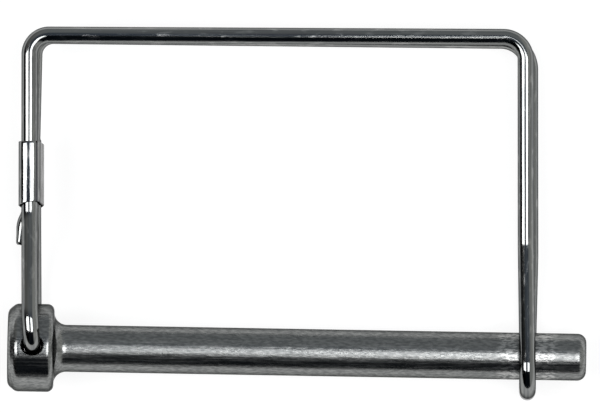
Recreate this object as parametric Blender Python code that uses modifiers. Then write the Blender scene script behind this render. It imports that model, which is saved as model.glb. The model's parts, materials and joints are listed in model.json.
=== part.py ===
"""Square wire lock pin: a headed pin whose sprung wire bail hinges in the head and snaps over the tip.

Units are metres. +X runs along the pin from head to tip, +Y towards the bail's top run and +Z up,
with the pin lying on its side. The origin is the centre of the head's end face.
"""

import math

import bpy
from mathutils import Matrix, Vector

MM = 0.001

# Pin
SHANK_DIAMETER = 7.94 * MM
SHANK_LENGTH = 89.9 * MM
HEAD_DIAMETER = 14.85 * MM
HEAD_LENGTH = 7.8 * MM
HEAD_FACE_ROUND = 1.5 * MM
HEAD_BACK_ROUND = 1.15 * MM
HEAD_FILLET = 1.9 * MM
TIP_ROUND = 1.75 * MM
HOLE_FROM_FACE = 4.2 * MM
HOLE_CHAMFER = 0.4 * MM

# Wire bail: lengths from the hinge, to the middle of the wire
WIRE_DIAMETER = 2.79 * MM
BAIL_HEIGHT = 52.8 * MM
TOP_RUN_FALL = 0.5 * MM
BACK_RUN_RISE = 0.1 * MM
TIP_OVERHANG = 10.2 * MM
HINGE_CORNER_RADIUS = 3.0 * MM
SNAP_CORNER_RADIUS = 3.8 * MM
HINGE_LEG_STEP = 0.5 * MM
HEAD_STEP = 0.35 * MM
BACK_STRAND_STEP = 0.8 * MM
SNAP_LEG_SPREAD = 7.8 * MM
SNAP_KINK_HEIGHT = 15.7 * MM
LOOP_FLAT = 3.3 * MM
HINGE_BEND = 2.6 * MM
EASE_BEND = 6.0 * MM
HEAD_RUN_MARGIN = 0.9 * MM
BAIL_REST_ANGLE = math.radians(1.0)

# Crimp sleeve, and the two wire ends that it holds
SLEEVE_START = 23.6 * MM
SLEEVE_LENGTH = 11.1 * MM
SLEEVE_WALL = 0.3 * MM
SLEEVE_SKEW = 0.5 * MM
SLEEVE_LEAD = 0.9 * MM
TAIL_LENGTH = 6.2 * MM
TAIL_STEP = 1.0 * MM
TAIL_LEAD = 0.6 * MM
TAIL_KNEE_DROP = 2.7 * MM
TAIL_KNEE_STEP = 0.77 * MM
TAIL_BEND = 4.0 * MM
END_STUB = 1.0 * MM

# Fits
HINGE_CLEARANCE = 0.4 * MM
HEAD_CLEARANCE = 0.3 * MM
SHANK_CLEARANCE = 0.25 * MM
LOOP_CLEARANCE = 0.6 * MM
STRAND_GAP = 0.3 * MM
SLEEVE_CLEARANCE = 0.2 * MM
FLEX_GAP = 0.3 * MM

# Fineness of the round surfaces
TURN_STEPS = 48
CORNER_STEP = math.radians(15)
WIRE_BEVEL = 4
SLEEVE_END_STEPS = 10
CUT_MARGIN = 2.0 * MM

# Values that follow from the sizes above, in the bail's frame: hinge at the origin, legs along Y
WIRE_RADIUS = WIRE_DIAMETER / 2
SHANK_RADIUS = SHANK_DIAMETER / 2
HEAD_RADIUS = HEAD_DIAMETER / 2
HOLE_RADIUS = WIRE_RADIUS + HINGE_CLEARANCE
PIN_LENGTH = HEAD_LENGTH + SHANK_LENGTH

HEAD_LEVEL = HEAD_RADIUS + HEAD_CLEARANCE + WIRE_RADIUS
SNAP_LEVEL = SNAP_LEG_SPREAD / 2
STRAND_PITCH = WIRE_DIAMETER + STRAND_GAP
FACE_SIDE = HOLE_FROM_FACE - HEAD_FACE_ROUND
NECK_SIDE = HEAD_LENGTH - HOLE_FROM_FACE - HEAD_BACK_ROUND
HEAD_RUN = max(FACE_SIDE, NECK_SIDE) + HEAD_RUN_MARGIN

HINGE_LEG_X = -HINGE_LEG_STEP
SNAP_LEG_X = PIN_LENGTH - HOLE_FROM_FACE - TIP_OVERHANG
SNAP_BACK_X = SNAP_LEG_X + BACK_STRAND_STEP
SNAP_TOP_Y = BAIL_HEIGHT - TOP_RUN_FALL
LOOP_X = SNAP_LEG_X + BACK_STRAND_STEP / 3
SHANK_Y = -LOOP_X * math.tan(BAIL_REST_ANGLE)
LOOP_Y = SHANK_Y - (SHANK_RADIUS + LOOP_CLEARANCE + WIRE_RADIUS) / math.cos(BAIL_REST_ANGLE)
SHANK_LEVEL = SHANK_RADIUS + SHANK_CLEARANCE + WIRE_RADIUS
SPREAD_SLOPE = (SHANK_LEVEL - SNAP_LEVEL) / (SNAP_KINK_HEIGHT - SHANK_Y)
LOOP_LEVEL = SHANK_LEVEL + SPREAD_SLOPE * (SHANK_Y - LOOP_Y)
LOOP_TURN = math.pi / 2 + math.atan(SPREAD_SLOPE)
LOOP_BEND = (LOOP_LEVEL - LOOP_FLAT / 2) / math.tan(LOOP_TURN / 2)

FLEX_Y = SNAP_TOP_Y - SNAP_CORNER_RADIUS - FLEX_GAP
FLEX_X = SNAP_BACK_X + WIRE_RADIUS

SLEEVE_END = SLEEVE_START + SLEEVE_LENGTH
SLEEVE_BACK_X = HINGE_LEG_X + SLEEVE_SKEW
SLEEVE_MIDDLE_X = (HINGE_LEG_X + SLEEVE_BACK_X) / 2


def clear_scene():
    for obj in list(bpy.data.objects):
        bpy.data.objects.remove(obj)


def new_collection(name):
    collection = bpy.data.collections.new(name)
    bpy.context.scene.collection.children.link(collection)
    return collection


def metal(name, colour, roughness):
    material = bpy.data.materials.new(name)
    material.use_nodes = True
    shader = material.node_tree.nodes["Principled BSDF"]
    shader.inputs["Base Color"].default_value = (*colour, 1.0)
    shader.inputs["Metallic"].default_value = 1.0
    shader.inputs["Roughness"].default_value = roughness
    return material


def add_object(name, data, collection, material=None, parent=None):
    obj = bpy.data.objects.new(name, data)
    collection.objects.link(obj)
    obj.parent = parent
    if material:
        data.materials.append(material)
    return obj


def arc(centre_x, centre_z, radius, first_degrees, last_degrees):
    """Profile points (distance from the axis, height) along an arc."""
    turn = math.radians(last_degrees - first_degrees)
    steps = math.ceil(abs(turn) / CORNER_STEP)
    angles = [math.radians(first_degrees) + turn * step / steps for step in range(steps + 1)]
    return [(centre_x + radius * math.cos(a), centre_z + radius * math.sin(a)) for a in angles]


def add_turned(name, profile, collection, material=None):
    """A solid of revolution about its own Z, from a profile that runs down its outer side."""
    mesh = bpy.data.meshes.new(name)
    edges = [(index, index + 1) for index in range(len(profile) - 1)]
    mesh.from_pydata([(x, 0.0, z) for x, z in profile], edges, [])
    obj = add_object(name, mesh, collection, material)
    screw = obj.modifiers.new("turn", "SCREW")
    screw.steps = TURN_STEPS
    screw.render_steps = TURN_STEPS
    screw.use_merge_vertices = True
    screw.merge_threshold = 0.00001
    screw.use_smooth_shade = True
    return obj


def rounded_path(corners):
    """Points through (place, bend radius) corners, with the inner corners turned on arcs."""
    points = [corners[0][0]]
    for (before, _), (corner, radius), (after, _) in zip(corners, corners[1:], corners[2:]):
        arriving = (corner - before).normalized()
        leaving = (after - corner).normalized()
        turn = arriving.angle(leaving)
        axis = arriving.cross(leaving).normalized()
        start = corner - arriving * radius * math.tan(turn / 2)
        centre = start + axis.cross(arriving) * radius
        steps = math.ceil(turn / CORNER_STEP)
        for step in range(steps + 1):
            points.append(centre + Matrix.Rotation(turn * step / steps, 3, axis) @ (start - centre))
    points.append(corners[-1][0])
    return points


def add_wire(name, corners, collection, material, parent, origin=Vector()):
    """A round wire along a bent path, with its object's origin on the joint that carries it."""
    curve = bpy.data.curves.new(name, "CURVE")
    curve.dimensions = "3D"
    curve.bevel_depth = WIRE_RADIUS
    curve.bevel_resolution = WIRE_BEVEL
    curve.use_fill_caps = True
    points = rounded_path(corners)
    spline = curve.splines.new("POLY")
    spline.points.add(len(points) - 1)
    for target, point in zip(spline.points, points):
        target.co = (*(point - origin), 1.0)
    return add_object(name, curve, collection, material, parent)


def add_pin(collection, cutters, material):
    """Headed pin, one piece, with the cross hole for the bail drilled through its head."""
    fillet = min(HEAD_FILLET, HEAD_RADIUS - SHANK_RADIUS - HEAD_BACK_ROUND)
    profile = [(0.0, PIN_LENGTH)]
    profile += arc(SHANK_RADIUS - TIP_ROUND, PIN_LENGTH - TIP_ROUND, TIP_ROUND, 90, 0)
    profile += arc(SHANK_RADIUS + fillet, HEAD_LENGTH + fillet, fillet, 180, 270)
    profile += arc(HEAD_RADIUS - HEAD_BACK_ROUND, HEAD_LENGTH - HEAD_BACK_ROUND, HEAD_BACK_ROUND, 90, 0)
    profile += arc(HEAD_RADIUS - HEAD_FACE_ROUND, HEAD_FACE_ROUND, HEAD_FACE_ROUND, 0, -90)
    profile += [(0.0, 0.0)]
    pin = add_turned("lock_pin", profile, collection, material)
    pin.rotation_euler = (0.0, math.pi / 2, 0.0)

    hole = pin.modifiers.new("cross hole", "BOOLEAN")
    hole.operation = "DIFFERENCE"
    hole.object = add_hole_cutter(cutters)
    return pin


def add_hole_cutter(cutters):
    """Cross drill with a countersink at both of its mouths."""
    reach = HEAD_RADIUS + CUT_MARGIN
    mouth = HOLE_RADIUS + HOLE_CHAMFER + CUT_MARGIN
    straight = HEAD_RADIUS - HOLE_CHAMFER
    profile = [(0.0, reach), (mouth, reach), (HOLE_RADIUS, straight)]
    profile += [(HOLE_RADIUS, -straight), (mouth, -reach), (0.0, -reach)]
    cutter = add_turned("cross_drill", profile, cutters)
    cutter.location.x = HOLE_FROM_FACE
    cutter.hide_render = True
    cutter.display_type = "WIRE"
    return cutter


def add_front_wire(collection, material, hinge):
    """Front strand, from the snap leg's corner to the hinge leg, then through the head and back up."""
    spread_y = SLEEVE_START - SLEEVE_LEAD
    corners = [
        (Vector((SNAP_LEG_X, FLEX_Y + FLEX_GAP / 2, SNAP_LEVEL)), 0.0),
        (Vector((SNAP_LEG_X, SNAP_TOP_Y, SNAP_LEVEL)), SNAP_CORNER_RADIUS),
        (Vector((HINGE_LEG_X, BAIL_HEIGHT, STRAND_PITCH)), HINGE_CORNER_RADIUS),
        (Vector((HINGE_LEG_X, spread_y, STRAND_PITCH)), EASE_BEND),
        (Vector((-HEAD_STEP, HEAD_RUN, HEAD_LEVEL)), EASE_BEND),
        (Vector((0.0, 0.0, HEAD_LEVEL)), HINGE_BEND),
        (Vector((0.0, 0.0, -HEAD_LEVEL)), HINGE_BEND),
        (Vector((SLEEVE_BACK_X, HEAD_RUN, -HEAD_LEVEL)), EASE_BEND),
        (Vector((SLEEVE_BACK_X, spread_y, -STRAND_PITCH)), EASE_BEND),
        (Vector((SLEEVE_BACK_X, SLEEVE_END + END_STUB, -STRAND_PITCH)), 0.0),
    ]
    return add_wire("bail_wire_front", corners, collection, material, hinge)


def add_back_wire(collection, material, hinge):
    """Back strand, from the snap leg's corner to the hinge leg, then through the sleeve to its tail."""
    leg_top = Vector((HINGE_LEG_X + BACK_STRAND_STEP, BAIL_HEIGHT + BACK_RUN_RISE, 0.0))
    sleeve_middle = Vector((SLEEVE_MIDDLE_X, SLEEVE_START + SLEEVE_LENGTH / 2, 0.0))
    slant = (sleeve_middle - leg_top) / (leg_top.y - sleeve_middle.y)
    tail_bend = leg_top + slant * (leg_top.y - SLEEVE_START + TAIL_LEAD)
    corners = [
        (Vector((SNAP_BACK_X, FLEX_Y + FLEX_GAP / 2, -SNAP_LEVEL)), 0.0),
        (Vector((SNAP_BACK_X, SNAP_TOP_Y, -SNAP_LEVEL)), SNAP_CORNER_RADIUS),
        (leg_top, HINGE_CORNER_RADIUS),
        (tail_bend, TAIL_BEND),
        (Vector((HINGE_LEG_X - TAIL_KNEE_STEP, SLEEVE_START - TAIL_KNEE_DROP, 0.0)), TAIL_BEND),
        (Vector((HINGE_LEG_X - TAIL_STEP, SLEEVE_START - TAIL_LENGTH, 0.0)), 0.0),
    ]
    return add_wire("bail_wire_back", corners, collection, material, hinge)


def add_snap_end(collection, material, flex):
    """Snap leg: its strands spread to straddle the shank behind the tip, and meet in a loop under it."""
    corners = [
        (Vector((SNAP_LEG_X, FLEX_Y - FLEX_GAP / 2, SNAP_LEVEL)), 0.0),
        (Vector((SNAP_LEG_X, SNAP_KINK_HEIGHT, SNAP_LEVEL)), EASE_BEND),
        (Vector((LOOP_X, LOOP_Y, LOOP_LEVEL)), LOOP_BEND),
        (Vector((LOOP_X, LOOP_Y, -LOOP_LEVEL)), LOOP_BEND),
        (Vector((SNAP_BACK_X, SNAP_KINK_HEIGHT, -SNAP_LEVEL)), EASE_BEND),
        (Vector((SNAP_BACK_X, FLEX_Y - FLEX_GAP / 2, -SNAP_LEVEL)), 0.0),
    ]
    return add_wire("bail_snap_end", corners, collection, material, flex, flex.location)


def oval(front, back, radius):
    """Closed outline of given radius round the line between two places."""
    heading = math.atan2(back.y - front.y, back.x - front.x)
    points = []
    for centre, first in ((back, heading - math.pi / 2), (front, heading + math.pi / 2)):
        for step in range(SLEEVE_END_STEPS + 1):
            angle = first + math.pi * step / SLEEVE_END_STEPS
            points.append(centre + radius * Vector((math.cos(angle), math.sin(angle))))
    return points


def add_sleeve(collection, material, hinge):
    """Flat oval sleeve, crimped round the two strands and the wire's ends."""
    front = Vector((HINGE_LEG_X, -STRAND_PITCH))
    back = Vector((SLEEVE_BACK_X, STRAND_PITCH))
    bore = WIRE_RADIUS + SLEEVE_CLEARANCE
    curve = bpy.data.curves.new("crimp_sleeve", "CURVE")
    curve.dimensions = "2D"
    curve.fill_mode = "BOTH"
    curve.extrude = SLEEVE_LENGTH / 2
    for radius in (bore + SLEEVE_WALL, bore):
        outline = oval(front, back, radius)
        spline = curve.splines.new("POLY")
        spline.points.add(len(outline) - 1)
        spline.use_cyclic_u = True
        for target, point in zip(spline.points, outline):
            target.co = (*point, 0.0, 1.0)
    sleeve = add_object("crimp_sleeve", curve, collection, material, hinge)
    sleeve.location.y = SLEEVE_START + SLEEVE_LENGTH / 2
    sleeve.rotation_euler.x = -math.pi / 2
    return sleeve


def add_axis(name, collection, location, parent=None):
    empty = add_object(name, None, collection, parent=parent)
    empty.location = location
    empty.empty_display_size = HEAD_DIAMETER
    return empty


def main():
    clear_scene()
    parts = new_collection("wire_lock_pin")
    cutters = new_collection("cutters")
    zinc_pin = metal("zinc_plated_pin", (0.60, 0.62, 0.64), 0.34)
    zinc_wire = metal("zinc_plated_wire", (0.66, 0.68, 0.70), 0.20)
    zinc_sleeve = metal("zinc_plated_sleeve", (0.70, 0.71, 0.74), 0.24)

    hinge = add_axis("bail_hinge", parts, (HOLE_FROM_FACE, 0.0, 0.0))
    hinge.rotation_euler.z = BAIL_REST_ANGLE
    flex = add_axis("snap_flex_axis", parts, (FLEX_X, FLEX_Y, 0.0), hinge)

    add_pin(parts, cutters, zinc_pin)
    add_front_wire(parts, zinc_wire, hinge)
    add_back_wire(parts, zinc_wire, hinge)
    add_sleeve(parts, zinc_sleeve, hinge)
    add_snap_end(parts, zinc_wire, flex)


main()
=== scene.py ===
"""Looks of the wire lock pin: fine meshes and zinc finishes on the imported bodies, in a small studio.

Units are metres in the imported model's frame: +X along the pin, +Y towards the bail's top run, +Z up.
"""

import json
import math

import bpy
from mathutils import Matrix, Vector


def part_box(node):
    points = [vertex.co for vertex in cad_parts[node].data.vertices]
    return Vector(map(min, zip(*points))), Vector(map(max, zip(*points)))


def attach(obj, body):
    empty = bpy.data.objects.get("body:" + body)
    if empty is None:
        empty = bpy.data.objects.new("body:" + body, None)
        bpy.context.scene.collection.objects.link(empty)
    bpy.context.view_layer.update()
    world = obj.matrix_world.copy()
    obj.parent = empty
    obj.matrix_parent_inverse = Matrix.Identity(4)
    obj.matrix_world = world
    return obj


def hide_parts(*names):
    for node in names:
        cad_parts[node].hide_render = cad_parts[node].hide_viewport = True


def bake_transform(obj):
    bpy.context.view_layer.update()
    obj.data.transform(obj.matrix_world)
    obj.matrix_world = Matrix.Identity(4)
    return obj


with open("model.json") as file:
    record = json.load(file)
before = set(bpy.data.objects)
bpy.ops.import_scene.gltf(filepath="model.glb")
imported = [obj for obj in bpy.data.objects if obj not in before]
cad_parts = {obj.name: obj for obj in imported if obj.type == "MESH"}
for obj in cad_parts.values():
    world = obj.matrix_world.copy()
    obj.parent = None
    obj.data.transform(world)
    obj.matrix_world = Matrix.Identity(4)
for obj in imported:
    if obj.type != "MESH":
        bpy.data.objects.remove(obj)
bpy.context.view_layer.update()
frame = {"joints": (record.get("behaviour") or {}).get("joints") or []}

MM = 0.001

# From the frame
JOINTS = {joint["name"]: joint for joint in frame["joints"]}
HINGE = Vector(JOINTS["bail_swing"]["pos_m"])
PIN_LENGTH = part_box("lock_pin")[1].x
HEAD_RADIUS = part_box("lock_pin")[1].z

# Pin
SHANK_RADIUS = 3.97 * MM
HEAD_LENGTH = 7.8 * MM
FACE_CHAMFER_LENGTH = 1.4 * MM
FACE_CHAMFER_DEPTH = 1.15 * MM
FACE_CHAMFER_BEND = 1.4 * MM
HEAD_BACK_ROUND = 1.15 * MM
HEAD_FILLET = 2.1 * MM
TIP_ROUND = 1.5 * MM
HOLE_RADIUS = 1.795 * MM
HOLE_CHAMFER = 0.22 * MM
HOLE_EDGE_BEND = 0.16 * MM
HOLE_WAIST_RADIUS = 1.46 * MM
HOLE_WAIST_REACH = 3.2 * MM
HOLE_WAIST_LEAD = 0.8 * MM
DRILL_MARGIN = 2.0 * MM

# Wire bail, in the bail's frame: hinge at the origin, legs along Y
WIRE_RADIUS = 1.395 * MM
BAIL_HEIGHT = 52.8 * MM
SNAP_TOP_Y = 52.3 * MM
BACK_RUN_RISE = 0.1 * MM
HINGE_CORNER_RADIUS = 3.3 * MM
SNAP_CORNER_RADIUS = 3.8 * MM
BACK_CORNER_RADIUS = 4.9 * MM
HINGE_LEG_X = -0.5 * MM
HEAD_STEP = 0.35 * MM
SNAP_LEG_X = 83.3 * MM
BACK_STRAND_STEP = 0.8 * MM
SNAP_LEVEL = 3.9 * MM
FRONT_KINK_HEIGHT = 17.0 * MM
BACK_KINK_HEIGHT = 15.7 * MM
STRAND_PITCH = 3.09 * MM
HEAD_CLEARANCE = 0.45 * MM
HEAD_LEVEL = HEAD_RADIUS + HEAD_CLEARANCE + WIRE_RADIUS
HEAD_RUN = 5.2 * MM
HINGE_BEND = 3.0 * MM
EASE_BEND = 6.0 * MM
LOOP_X = SNAP_LEG_X + BACK_STRAND_STEP / 3
LOOP_Y = -7.425 * MM
LOOP_LEVEL = 6.211 * MM
LOOP_BEND = 4.13 * MM
SNAP_BACK_X = SNAP_LEG_X + BACK_STRAND_STEP
BAIL_REST_ANGLE = math.radians(1.0)
TAIL_LENGTH = 6.2 * MM
TAIL_STEP = 1.7 * MM
TAIL_LEAD = 0.6 * MM
TAIL_KNEE_DROP = 2.7 * MM
TAIL_KNEE_STEP = 1.2 * MM
TAIL_BEND = 4.0 * MM
TAIL_END_ROUND = 0.7 * MM
TAIL_TAPER_LENGTH = 6.5 * MM
TAIL_END_SHARE = 0.5
END_STUB = 1.0 * MM
INNER_END_ROUND = 0.5 * MM

# Crimp sleeve, in the bail's frame
SLEEVE_START = 23.6 * MM
SLEEVE_END = 34.7 * MM
SLEEVE_LEAD = 1.8 * MM
SLEEVE_BACK_X = 0.0
SLEEVE_MIDDLE_X = (HINGE_LEG_X + SLEEVE_BACK_X) / 2
SLEEVE_REACH = 1.86 * MM
SLEEVE_FLAT_REACH = 1.7 * MM
SLEEVE_SQUARENESS = 2.3
SLEEVE_WALL = 0.24 * MM
SLEEVE_RIM_ROUND = 0.11 * MM
SLEEVE_RIM_SLANT = 0.9 * MM
SEAM_ANGLE = math.radians(52)
SEAM_WIDTH = 0.2 * MM
SEAM_DEPTH = 0.12 * MM

# Fineness
ARC_STEP = math.radians(4)
RING_STEP = 1.2 * MM
HEAD_RING_STEP = 0.3 * MM
WIRE_SIDES = 32
PIN_SIDES = 160
HOLE_SIDES = 96
SLEEVE_SIDES = 240
SLEEVE_RINGS = 24

# Camera: the photograph's view
VIEW_TILT = math.radians(4.1)
VIEW_ROLL = math.radians(1.0)
VIEW_DISTANCE = 3.0
VIEW_WIDTH = 101.4 * MM
VIEW_TARGET = Vector((48.94, 24.7, 0.0)) * MM
SENSOR_WIDTH = 36.0

# Studio
FLOOR_SIZE = 1.6
FLOOR_CONTACTS = (
    Vector((4.2, 3.0, -10.67)) * MM,
    Vector((87.8, -3.0, -7.15)) * MM,
    Vector((88.0, 50.0, -5.32)) * MM,
)
FLOOR_GLOW = 0.84
FLOOR_COLOUR = (0.22, 0.22, 0.22)
CEILING = (0.095, 0.125, 0.17)
WALL = (0.60, 0.61, 0.59)
LAMP_HEIGHT = 1.6
LAMP_RADIANCE = 6.2
LAMP_NEAR = -22.0
LAMP_FAR = 9.0
LEFT_LAMP = (-54.0, -20.0)
RIGHT_LAMP = (1.5, 28.0)

# Finishes
EDGE_TINT = (0.22, 0.22, 0.22)
PIN_DARK = (0.165, 0.170, 0.170)
PIN_LIGHT = (0.285, 0.290, 0.285)
WIRE_DARK = (0.170, 0.176, 0.178)
WIRE_LIGHT = (0.250, 0.255, 0.250)
WORN_ZINC = (0.52, 0.52, 0.51)
SLEEVE_DARK = (0.18, 0.185, 0.19)
SLEEVE_LIGHT = (0.28, 0.285, 0.28)
# Near-black painted shade, for the inside of the pin's cross hole and the crease of the sleeve's seam
PAINTED_SHADE = (0.03, 0.03, 0.034)
RUB_PLACE = 87.8 * MM
RUB_REACH = 5.6 * MM
PIN_RELIEF = 0.016 * MM
WIRE_RELIEF = 0.006 * MM
SLEEVE_RELIEF = 0.014 * MM


def rounded_path(corners, straight_step):
    """Points through (place, bend radius) corners, with arcs at the inner corners and even straight runs."""
    runs = [[corners[0][0]]]
    for (before, _), (corner, radius), (after, _) in zip(corners, corners[1:], corners[2:]):
        if not radius:
            runs.append([corner])
            continue
        arriving = (corner - before).normalized()
        leaving = (after - corner).normalized()
        turn = arriving.angle(leaving)
        axis = arriving.cross(leaving).normalized()
        start = corner - arriving * radius * math.tan(turn / 2)
        centre = start + axis.cross(arriving) * radius
        steps = math.ceil(turn / ARC_STEP)
        turns = [Matrix.Rotation(turn * step / steps, 3, axis) for step in range(steps + 1)]
        runs.append([centre + rotation @ (start - centre) for rotation in turns])
    runs.append([corners[-1][0]])

    points = list(runs[0])
    for run in runs[1:]:
        first = points[-1]
        steps = max(1, math.ceil((run[0] - first).length / straight_step))
        points += [first.lerp(run[0], step / steps) for step in range(1, steps)]
        points += run
    return points


def new_mesh_object(name, points, faces):
    mesh = bpy.data.meshes.new(name)
    mesh.from_pydata(points, [], faces)
    mesh.update()
    obj = bpy.data.objects.new(name, mesh)
    bpy.context.scene.collection.objects.link(obj)
    return obj


def smooth(obj, sharp_angle):
    obj.data.shade_smooth()
    obj.data.set_sharp_from_angle(angle=sharp_angle)


def band(first, second, count):
    """Quads between two closed rings of vertices, given by their first indices."""
    return [(first + i, first + (i + 1) % count, second + (i + 1) % count, second + i) for i in range(count)]


def turned(name, profile, sides):
    """Closed solid of revolution about Z, from (distance from the axis, height) points, axis to axis."""
    points = [Vector((0.0, 0.0, profile[0][1]))]
    for radius, height in profile[1:-1]:
        for side in range(sides):
            angle = math.tau * side / sides
            points.append(Vector((radius * math.cos(angle), radius * math.sin(angle), height)))
    points.append(Vector((0.0, 0.0, profile[-1][1])))

    rings = len(profile) - 2
    last = len(points) - 1
    faces = [(0, 1 + (i + 1) % sides, 1 + i) for i in range(sides)]
    for ring in range(rings - 1):
        first = 1 + ring * sides
        faces += band(first, first + sides, sides)
    tail = 1 + (rings - 1) * sides
    faces += [(last, tail + i, tail + (i + 1) % sides) for i in range(sides)]
    return new_mesh_object(name, points, faces)


def profile_of(corners, straight_step):
    """Rounded profile for turned(), from (distance from the axis, height, bend radius) corners."""
    places = [(Vector((radius, 0.0, height)), bend) for radius, height, bend in corners]
    return [(point.x, point.z) for point in rounded_path(places, straight_step)]


def baked(obj):
    """Replaces an object's mesh with the one its modifiers give."""
    depsgraph = bpy.context.evaluated_depsgraph_get()
    mesh = bpy.data.meshes.new_from_object(obj.evaluated_get(depsgraph))
    obj.modifiers.clear()
    obj.data = mesh
    return obj


def add_pin(material):
    """Headed pin with a chamfered face, a filleted neck, a rounded tip and a countersunk cross hole."""
    neck = HEAD_LENGTH + HEAD_FILLET
    head = profile_of([
        (0.0, 0.0, 0.0),
        (HEAD_RADIUS - FACE_CHAMFER_DEPTH, 0.0, FACE_CHAMFER_BEND),
        (HEAD_RADIUS, FACE_CHAMFER_LENGTH, FACE_CHAMFER_BEND),
        (HEAD_RADIUS, HEAD_LENGTH, HEAD_BACK_ROUND),
        (SHANK_RADIUS, HEAD_LENGTH, HEAD_FILLET),
        (SHANK_RADIUS, neck + RING_STEP, 0.0),
    ], HEAD_RING_STEP)
    shank = profile_of([
        (SHANK_RADIUS, neck + 2 * RING_STEP, 0.0),
        (SHANK_RADIUS, PIN_LENGTH, TIP_ROUND),
        (0.0, PIN_LENGTH, 0.0),
    ], RING_STEP)
    pin = turned("pin", head + shank, PIN_SIDES)
    pin.data.transform(Matrix.Rotation(math.pi / 2, 4, "Y"))

    drill = add_cross_drill()
    cut = pin.modifiers.new("cross hole", "BOOLEAN")
    cut.operation = "DIFFERENCE"
    cut.object = drill
    baked(pin)
    bpy.data.objects.remove(drill)

    smooth(pin, math.radians(35))
    pin.data.materials.clear()
    pin.data.materials.append(material)
    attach(pin, "pin")
    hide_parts("lock_pin")
    return pin


def add_cross_drill():
    """Cutter for the cross hole: drilled from both sides, and closer round the wire in the middle."""
    straight = HEAD_RADIUS - HOLE_CHAMFER
    outside = HEAD_RADIUS + DRILL_MARGIN
    upper_half = [
        (HOLE_WAIST_RADIUS, HOLE_WAIST_REACH, 0.0),
        (HOLE_RADIUS, HOLE_WAIST_REACH + HOLE_WAIST_LEAD, 0.0),
        (HOLE_RADIUS, straight, HOLE_EDGE_BEND),
        (HOLE_RADIUS + HOLE_CHAMFER + DRILL_MARGIN, outside, 0.0),
        (0.0, outside, 0.0),
    ]
    lower_half = [(radius, -height, bend) for radius, height, bend in reversed(upper_half)]
    profile = profile_of(lower_half + upper_half, HEAD_RADIUS)
    drill = turned("cross_drill", profile, HOLE_SIDES)
    drill.data.transform(Matrix.Translation((HINGE.x, 0.0, 0.0)))
    return drill


def bail_matrix():
    return Matrix.Translation(HINGE) @ Matrix.Rotation(BAIL_REST_ANGLE, 4, "Z")


def wire_route():
    """Corners of the whole wire, from its tail to its inner end, with their bend radii."""
    spread_y = SLEEVE_START - SLEEVE_LEAD
    back_top = Vector((HINGE_LEG_X + BACK_STRAND_STEP, BAIL_HEIGHT + BACK_RUN_RISE, 0.0))
    sleeve_middle = Vector((SLEEVE_MIDDLE_X, (SLEEVE_START + SLEEVE_END) / 2, 0.0))
    slant = (sleeve_middle - back_top) / (back_top.y - sleeve_middle.y)
    return [
        (Vector((HINGE_LEG_X - TAIL_STEP, SLEEVE_START - TAIL_LENGTH, 0.0)), 0.0),
        (Vector((HINGE_LEG_X - TAIL_KNEE_STEP, SLEEVE_START - TAIL_KNEE_DROP, 0.0)), TAIL_BEND),
        (back_top + slant * (back_top.y - SLEEVE_START + TAIL_LEAD), TAIL_BEND),
        (back_top, HINGE_CORNER_RADIUS),
        (Vector((SNAP_BACK_X, SNAP_TOP_Y, -SNAP_LEVEL)), BACK_CORNER_RADIUS),
        (Vector((SNAP_BACK_X, BACK_KINK_HEIGHT, -SNAP_LEVEL)), EASE_BEND),
        (Vector((LOOP_X, LOOP_Y, -LOOP_LEVEL)), LOOP_BEND),
        (Vector((LOOP_X, LOOP_Y, LOOP_LEVEL)), LOOP_BEND),
        (Vector((SNAP_LEG_X, FRONT_KINK_HEIGHT, SNAP_LEVEL)), EASE_BEND),
        (Vector((SNAP_LEG_X, SNAP_TOP_Y, SNAP_LEVEL)), SNAP_CORNER_RADIUS),
        (Vector((HINGE_LEG_X, BAIL_HEIGHT, STRAND_PITCH)), HINGE_CORNER_RADIUS),
        (Vector((HINGE_LEG_X, spread_y, STRAND_PITCH)), EASE_BEND),
        (Vector((-HEAD_STEP, HEAD_RUN, HEAD_LEVEL)), EASE_BEND),
        (Vector((0.0, 0.0, HEAD_LEVEL)), HINGE_BEND),
        (Vector((0.0, 0.0, -HEAD_LEVEL)), HINGE_BEND),
        (Vector((SLEEVE_BACK_X, HEAD_RUN, -HEAD_LEVEL)), EASE_BEND),
        (Vector((SLEEVE_BACK_X, spread_y, -STRAND_PITCH)), EASE_BEND),
        (Vector((SLEEVE_BACK_X, SLEEVE_END + END_STUB, -STRAND_PITCH)), 0.0),
    ]


def end_rings(round_size):
    """(distance in from the end, radius) of the rings over a rounded wire end, from the end inwards."""
    angles = [math.pi / 2 * step / 6 for step in range(6, -1, -1)]
    return [(round_size * (1 - math.sin(a)), WIRE_RADIUS - round_size * (1 - math.cos(a))) for a in angles]


def tail_share(along):
    """Share of the full thickness that the wire keeps near its cut-down tail."""
    share = min(1.0, along / TAIL_TAPER_LENGTH)
    return TAIL_END_SHARE + (1.0 - TAIL_END_SHARE) * share * share * (3.0 - 2.0 * share)


def wire_rings(path):
    """(centre, tangent, radius, length along) of each ring of the wire."""
    lengths = [0.0]
    for before, after in zip(path, path[1:]):
        lengths.append(lengths[-1] + (after - before).length)
    total = lengths[-1]
    start = (path[1] - path[0]).normalized()
    finish = (path[-1] - path[-2]).normalized()
    rings = [(path[0] + start * inset, start, radius, inset) for inset, radius in end_rings(TAIL_END_ROUND)]
    for before, here, after, along in zip(path, path[1:], path[2:], lengths[1:]):
        if TAIL_END_ROUND < along < total - INNER_END_ROUND:
            tangent = ((here - before).normalized() + (after - here).normalized()).normalized()
            rings.append((here, tangent, WIRE_RADIUS, along))
    for inset, radius in reversed(end_rings(INNER_END_ROUND)):
        rings.append((path[-1] - finish * inset, finish, radius, total - inset))
    return rings


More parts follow.
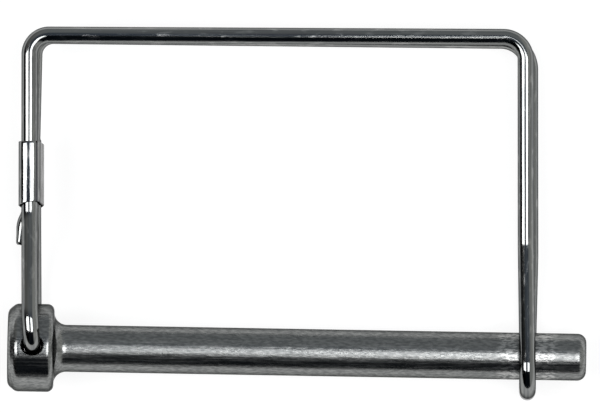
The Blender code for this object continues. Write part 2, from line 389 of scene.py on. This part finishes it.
def add_wire(material):
    """The bail's one length of wire, swept along its route with rounded ends."""
    rings = wire_rings(rounded_path(wire_route(), RING_STEP))
    side = rings[0][1].orthogonal().normalized()
    points, unbent, faces = [], [], []
    for centre, tangent, full_radius, along in rings:
        radius = full_radius * tail_share(along)
        side = (side - tangent * side.dot(tangent)).normalized()
        other = tangent.cross(side)
        for index in range(WIRE_SIDES):
            angle = math.tau * index / WIRE_SIDES
            across, up = radius * math.cos(angle), radius * math.sin(angle)
            points.append(centre + side * across + other * up)
            unbent.append((along, across, up))
    for ring in range(len(rings) - 1):
        faces += band(ring * WIRE_SIDES, (ring + 1) * WIRE_SIDES, WIRE_SIDES)
    faces.append(tuple(reversed(range(WIRE_SIDES))))
    faces.append(tuple(range(len(points) - WIRE_SIDES, len(points))))

    wire = new_mesh_object("bail_wire", points, faces)
    coordinates = wire.data.attributes.new("unbent", "FLOAT_VECTOR", "POINT")
    coordinates.data.foreach_set("vector", [value for place in unbent for value in place])
    smooth(wire, math.radians(60))
    wire.data.materials.append(material)
    wire.matrix_world = bail_matrix()
    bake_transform(wire)
    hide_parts("bail_wire_front", "bail_wire_back", "bail_snap_end")
    return wire


def squared_off(angle):
    """Place on the sleeve's squared-off round end, from the middle of its strand."""
    across = math.copysign(abs(math.cos(angle)) ** (2 / SLEEVE_SQUARENESS), math.cos(angle))
    deep = math.copysign(abs(math.sin(angle)) ** (2 / SLEEVE_SQUARENESS), math.sin(angle))
    return Vector((SLEEVE_REACH * across, SLEEVE_FLAT_REACH * deep))


def seam_place():
    """Middle of the sleeve's seam, in the bail's frame."""
    spot = Vector((HINGE_LEG_X, STRAND_PITCH)) + squared_off(SEAM_ANGLE)
    return Vector((spot.x, 0.0, spot.y))


def sleeve_outline():
    """(place, outward heading) round the sleeve in the XZ plane, creased along its seam."""
    half = SLEEVE_SIDES // 2
    front = Vector((HINGE_LEG_X, STRAND_PITCH))
    back = Vector((SLEEVE_BACK_X, -STRAND_PITCH))
    outline = []
    for centre, first in ((front, 0.0), (back, math.pi)):
        for step in range(half):
            angle = first + math.pi * step / (half - 1)
            heading = Vector((math.cos(angle), math.sin(angle)))
            from_seam = abs(angle - SEAM_ANGLE) * SLEEVE_REACH / (SEAM_WIDTH / 2)
            crease = SEAM_DEPTH * max(0.0, 1.0 - from_seam)
            outline.append((centre + squared_off(angle) - heading * crease, heading))
    return outline


def sleeve_wall():
    """(inset, lengthwise share, length to add) of each sleeve ring, up its outside and down its bore."""
    rim = SLEEVE_RIM_ROUND
    turn_in = [(rim * (1 - math.sin(a)), rim * (1 - math.cos(a))) for a in (0.0, 0.5, 1.0, math.pi / 2)]
    rings = [(inset, 0.0, offset) for inset, offset in turn_in]
    rings += [(0.0, step / SLEEVE_RINGS, 0.0) for step in range(1, SLEEVE_RINGS)]
    rings += [(inset, 1.0, -offset) for inset, offset in reversed(turn_in)]
    rings += [(SLEEVE_WALL, 1 - step / SLEEVE_RINGS, 0.0) for step in range(SLEEVE_RINGS + 1)]
    return rings


def add_sleeve(material):
    """Crimped sheet-metal sleeve, open at both ends, with its lower rim cut a little slantwise."""
    outline = sleeve_outline()
    count = len(outline)
    rings = sleeve_wall()
    points, faces = [], []
    for inset, share, extra in rings:
        for place, heading in outline:
            slant = 0.5 + 0.5 * math.cos(math.atan2(heading.y, heading.x) - SEAM_ANGLE)
            start = SLEEVE_START + SLEEVE_RIM_SLANT * slant
            spot = place - heading * inset
            points.append(Vector((spot.x, start + (SLEEVE_END - start) * share + extra, spot.y)))
    for ring in range(len(rings)):
        faces += band(ring * count, (ring + 1) % len(rings) * count, count)
    sleeve = new_mesh_object("crimp_sleeve_shell", points, faces)
    smooth(sleeve, math.radians(50))
    sleeve.data.materials.append(material)
    sleeve.matrix_world = bail_matrix()
    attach(sleeve, "bail")
    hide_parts("crimp_sleeve")
    return sleeve


def add_node(tree, kind, **settings):
    node = tree.nodes.new(kind)
    for name, value in settings.items():
        setattr(node, name, value)
    return node


def noise(tree, place, stretch, detail):
    """Cloudy 0 to 1 pattern, with a stretch in waves per metre along each axis."""
    scaled = add_node(tree, "ShaderNodeVectorMath", operation="MULTIPLY")
    scaled.inputs[1].default_value = stretch
    texture = add_node(tree, "ShaderNodeTexNoise")
    texture.inputs["Scale"].default_value = 1.0
    texture.inputs["Detail"].default_value = detail
    tree.links.new(place, scaled.inputs[0])
    tree.links.new(scaled.outputs[0], texture.inputs["Vector"])
    return texture.outputs[0]


def fitted(tree, value, low, high, first, last):
    """A value's span from low to high turned smoothly into first to last."""
    span = add_node(tree, "ShaderNodeMapRange", interpolation_type="SMOOTHSTEP")
    for name, number in (("From Min", low), ("From Max", high), ("To Min", first), ("To Max", last)):
        span.inputs[name].default_value = number
    tree.links.new(value, span.inputs["Value"])
    return span.outputs["Result"]


def combined(tree, operation, first, second):
    """One sum, product or other operation on two values, of which the second may be a plain number."""
    maths = add_node(tree, "ShaderNodeMath", operation=operation)
    tree.links.new(first, maths.inputs[0])
    if isinstance(second, float):
        maths.inputs[1].default_value = second
    else:
        tree.links.new(second, maths.inputs[1])
    return maths.outputs[0]


def blended(tree, share, first, second):
    """Colour between two others, each a plain colour or a socket."""
    mix = add_node(tree, "ShaderNodeMix", data_type="RGBA")
    tree.links.new(share, mix.inputs[0])
    for socket, colour in ((mix.inputs[6], first), (mix.inputs[7], second)):
        if isinstance(colour, tuple):
            socket.default_value = (*colour, 1.0)
        else:
            tree.links.new(colour, socket)
    return mix.outputs[2]


def near_line(tree, place, point, across, reach):
    """1 close to a line through a point and 0 away from it, with across as 1 on the axes square to it."""
    offset = add_node(tree, "ShaderNodeVectorMath", operation="SUBTRACT")
    offset.inputs[1].default_value = point
    flat = add_node(tree, "ShaderNodeVectorMath", operation="MULTIPLY")
    flat.inputs[1].default_value = across
    distance = add_node(tree, "ShaderNodeVectorMath", operation="LENGTH")
    tree.links.new(place, offset.inputs[0])
    tree.links.new(offset.outputs[0], flat.inputs[0])
    tree.links.new(flat.outputs[0], distance.inputs[0])
    return fitted(tree, distance.outputs["Value"], reach * 0.97, reach * 1.03, 1.0, 0.0)


def zinc(name):
    material = bpy.data.materials.new(name)
    material.use_nodes = True
    shader = material.node_tree.nodes["Principled BSDF"]
    shader.inputs["Metallic"].default_value = 1.0
    shader.inputs["Specular Tint"].default_value = (*EDGE_TINT, 1.0)
    return material, material.node_tree, shader


def finish_zinc(tree, shader, colour, roughness, relief, depth):
    """Feeds a zinc shader its colour, its roughness and a bumpy relief of a given depth."""
    bump = add_node(tree, "ShaderNodeBump")
    bump.inputs["Distance"].default_value = depth
    tree.links.new(relief, bump.inputs["Height"])
    tree.links.new(bump.outputs["Normal"], shader.inputs["Normal"])
    tree.links.new(colour, shader.inputs["Base Color"])
    tree.links.new(roughness, shader.inputs["Roughness"])


def pin_finish():
    """Satin zinc plate: mottled, scuffed lengthwise, brighter on the head and where the wire loop rubs, with
    painted shade colouring its cross hole's bore near-black.
    """
    material, tree, shader = zinc("pin_finish")
    place = add_node(tree, "ShaderNodeTexCoord").outputs["Object"]
    along = add_node(tree, "ShaderNodeSeparateXYZ")
    tree.links.new(place, along.inputs[0])
    mottle = noise(tree, place, (1200.0, 3000.0, 3000.0), 4.0)
    scuffs = noise(tree, place, (140.0, 3400.0, 3400.0), 3.0)
    from_rub = combined(tree, "ABSOLUTE", combined(tree, "SUBTRACT", along.outputs["X"], RUB_PLACE), 0.0)
    rubbed = fitted(tree, from_rub, RUB_REACH, RUB_REACH * 0.7, 0.0, 1.0)
    worn = combined(tree, "MULTIPLY", rubbed, fitted(tree, mottle, 0.42, 0.6, 0.0, 0.8))

    body = blended(tree, fitted(tree, mottle, 0.32, 0.68, 0.0, 1.0), PIN_DARK, PIN_LIGHT)
    plated = blended(tree, worn, body, WORN_ZINC)
    # Painted shade: the cross hole's bore is coloured near-black, and made rougher, where shade falls inside
    # the hole
    bore = near_line(tree, place, HINGE, (1.0, 1.0, 0.0), HOLE_RADIUS + HOLE_CHAMFER / 4)
    colour = blended(tree, bore, plated, PAINTED_SHADE)
    satin = fitted(tree, along.outputs["X"], HEAD_LENGTH, HEAD_LENGTH + HEAD_FILLET, 0.16, 0.22)
    scuffed = combined(tree, "ADD", satin, fitted(tree, scuffs, 0.35, 0.7, 0.0, 0.12))
    roughness = combined(tree, "ADD", scuffed, combined(tree, "MULTIPLY", bore, 0.4))
    lively = fitted(tree, along.outputs["X"], HEAD_LENGTH, HEAD_LENGTH + HEAD_FILLET, 0.25, 1.0)
    relief = combined(tree, "MULTIPLY", combined(tree, "ADD", mottle, scuffs), lively)
    finish_zinc(tree, shader, colour, roughness, relief, PIN_RELIEF)
    return material


def wire_finish():
    """Bright drawn wire: fine lines along its length, with duller scuffs."""
    material, tree, shader = zinc("wire_finish")
    place = add_node(tree, "ShaderNodeAttribute", attribute_name="unbent").outputs["Vector"]
    lines = noise(tree, place, (45.0, 2600.0, 2600.0), 3.0)
    marks = noise(tree, place, (420.0, 1300.0, 1300.0), 5.0)
    scuffed = fitted(tree, marks, 0.54, 0.68, 0.0, 1.0)

    body = blended(tree, fitted(tree, lines, 0.35, 0.65, 0.0, 1.0), WIRE_DARK, WIRE_LIGHT)
    colour = blended(tree, combined(tree, "MULTIPLY", scuffed, 0.3), body, WORN_ZINC)
    drawn = fitted(tree, lines, 0.35, 0.7, 0.07, 0.13)
    roughness = combined(tree, "ADD", drawn, combined(tree, "MULTIPLY", scuffed, 0.08))
    relief = combined(tree, "ADD", lines, combined(tree, "MULTIPLY", marks, 0.8))
    finish_zinc(tree, shader, colour, roughness, relief, WIRE_RELIEF)
    return material


def sleeve_finish():
    """Crimped zinc sheet: streaks up its length, dull patches left by the crimping tool, and painted shade
    along the seam's crease.
    """
    material, tree, shader = zinc("sleeve_finish")
    place = add_node(tree, "ShaderNodeTexCoord").outputs["Object"]
    streaks = noise(tree, place, (2800.0, 110.0, 2800.0), 4.0)
    patches = noise(tree, place, (700.0, 330.0, 700.0), 3.0)
    pressed = fitted(tree, patches, 0.5, 0.66, 0.0, 1.0)

    body = blended(tree, fitted(tree, streaks, 0.35, 0.65, 0.0, 1.0), SLEEVE_DARK, SLEEVE_LIGHT)
    plated = blended(tree, combined(tree, "MULTIPLY", pressed, 0.4), body, WORN_ZINC)
    # Painted shade: a thin near-black line along the seam's crease
    seam = near_line(tree, place, seam_place(), (1.0, 0.0, 1.0), SEAM_WIDTH * 0.75)
    colour = blended(tree, seam, plated, PAINTED_SHADE)
    drawn = fitted(tree, streaks, 0.35, 0.7, 0.09, 0.16)
    roughness = combined(tree, "ADD", drawn, combined(tree, "MULTIPLY", pressed, 0.1))
    relief = combined(tree, "ADD", streaks, patches)
    finish_zinc(tree, shader, colour, roughness, relief, SLEEVE_RELIEF)
    return material


def add_camera():
    right = Vector((math.cos(VIEW_ROLL), math.sin(VIEW_ROLL), 0.0))
    level = Vector((-math.sin(VIEW_ROLL), math.cos(VIEW_ROLL), 0.0))
    up = level * math.cos(VIEW_TILT) + Vector((0.0, 0.0, 1.0)) * math.sin(VIEW_TILT)
    back = right.cross(up)
    data = bpy.data.cameras.new("camera")
    data.sensor_width = SENSOR_WIDTH
    data.lens = SENSOR_WIDTH * VIEW_DISTANCE / VIEW_WIDTH
    data.clip_end = 100.0
    camera = bpy.data.objects.new("camera", data)
    turn = Matrix((right, up, back)).transposed().to_4x4()
    camera.matrix_world = Matrix.Translation(VIEW_TARGET + back * VIEW_DISTANCE) @ turn
    bpy.context.scene.collection.objects.link(camera)
    bpy.context.scene.camera = camera


def add_softbox(name, left, right):
    """Level lamp overhead, between angles in degrees from the vertical along X and along Y."""
    angles = (left, right, LAMP_NEAR, LAMP_FAR)
    sides = [LAMP_HEIGHT * math.tan(math.radians(angle)) for angle in angles]
    lamp = bpy.data.lights.new(name, "AREA")
    lamp.shape = "RECTANGLE"
    lamp.size = sides[1] - sides[0]
    lamp.size_y = sides[3] - sides[2]
    lamp.energy = LAMP_RADIANCE * math.pi * lamp.size * lamp.size_y
    softbox = bpy.data.objects.new(name, lamp)
    middle = Vector(((sides[0] + sides[1]) / 2, (sides[2] + sides[3]) / 2, LAMP_HEIGHT))
    softbox.location = VIEW_TARGET + middle
    softbox.visible_camera = False
    bpy.context.scene.collection.objects.link(softbox)


def add_floor():
    first, second, third = FLOOR_CONTACTS
    normal = (second - first).cross(third - first).normalized()
    across = (second - first).normalized()
    along = normal.cross(across)
    half = FLOOR_SIZE / 2
    corners = [first + across * x * half + along * y * half for x, y in ((-1, -1), (1, -1), (1, 1), (-1, 1))]
    floor = new_mesh_object("floor", corners, [(0, 1, 2, 3)])
    floor.data.materials.append(floor_finish())


def floor_finish():
    """White sheet that takes shadows and also glows for the camera and for mirror-like reflections."""
    material = bpy.data.materials.new("pale_floor")
    material.use_nodes = True
    tree = material.node_tree
    tree.nodes.clear()
    diffuse = add_node(tree, "ShaderNodeBsdfDiffuse")
    diffuse.inputs["Color"].default_value = (*FLOOR_COLOUR, 1.0)
    emission = add_node(tree, "ShaderNodeEmission")
    path = add_node(tree, "ShaderNodeLightPath").outputs
    seen = combined(tree, "MAXIMUM", path["Is Camera Ray"], path["Is Glossy Ray"])
    seen = combined(tree, "MAXIMUM", seen, path["Is Transmission Ray"])
    tree.links.new(combined(tree, "MULTIPLY", seen, FLOOR_GLOW), emission.inputs["Strength"])
    both = add_node(tree, "ShaderNodeAddShader")
    output = add_node(tree, "ShaderNodeOutputMaterial")
    tree.links.new(diffuse.outputs[0], both.inputs[0])
    tree.links.new(emission.outputs[0], both.inputs[1])
    tree.links.new(both.outputs[0], output.inputs["Surface"])
    return material


def add_world():
    """Dark studio with a grey wall to the right and behind, over a white horizon."""
    world = bpy.data.worlds.new("studio")
    world.use_nodes = True
    bpy.context.scene.world = world
    tree = world.node_tree
    toward = add_node(tree, "ShaderNodeSeparateXYZ")
    tree.links.new(add_node(tree, "ShaderNodeTexCoord").outputs["Generated"], toward.inputs[0])
    left_dark = fitted(tree, toward.outputs["X"], -0.6, -0.2, 0.05, 1.0)
    near_dark = fitted(tree, toward.outputs["Y"], -0.4, -0.05, 0.1, 1.0)
    overhead = combined(tree, "MULTIPLY", left_dark, near_dark)
    ceiling = blended(tree, overhead, (0.0, 0.0, 0.0), CEILING)
    behind = fitted(tree, toward.outputs["Y"], 0.08, 0.6, 0.0, 0.5)
    right = fitted(tree, toward.outputs["X"], 0.42, 0.62, 0.0, 1.0)
    walls = blended(tree, right, blended(tree, behind, ceiling, WALL), WALL)
    above = fitted(tree, toward.outputs["Z"], 0.02, 0.06, 0.0, 1.0)
    sky = blended(tree, above, (1.0, 1.0, 1.0), walls)
    tree.links.new(sky, tree.nodes["Background"].inputs["Color"])


def main():
    bpy.context.scene.view_settings.view_transform = "Standard"
    add_camera()
    add_floor()
    add_world()
    add_softbox("softbox_left", *LEFT_LAMP)
    add_softbox("softbox_right", *RIGHT_LAMP)
    add_pin(pin_finish())
    add_wire(wire_finish())
    add_sleeve(sleeve_finish())


main()
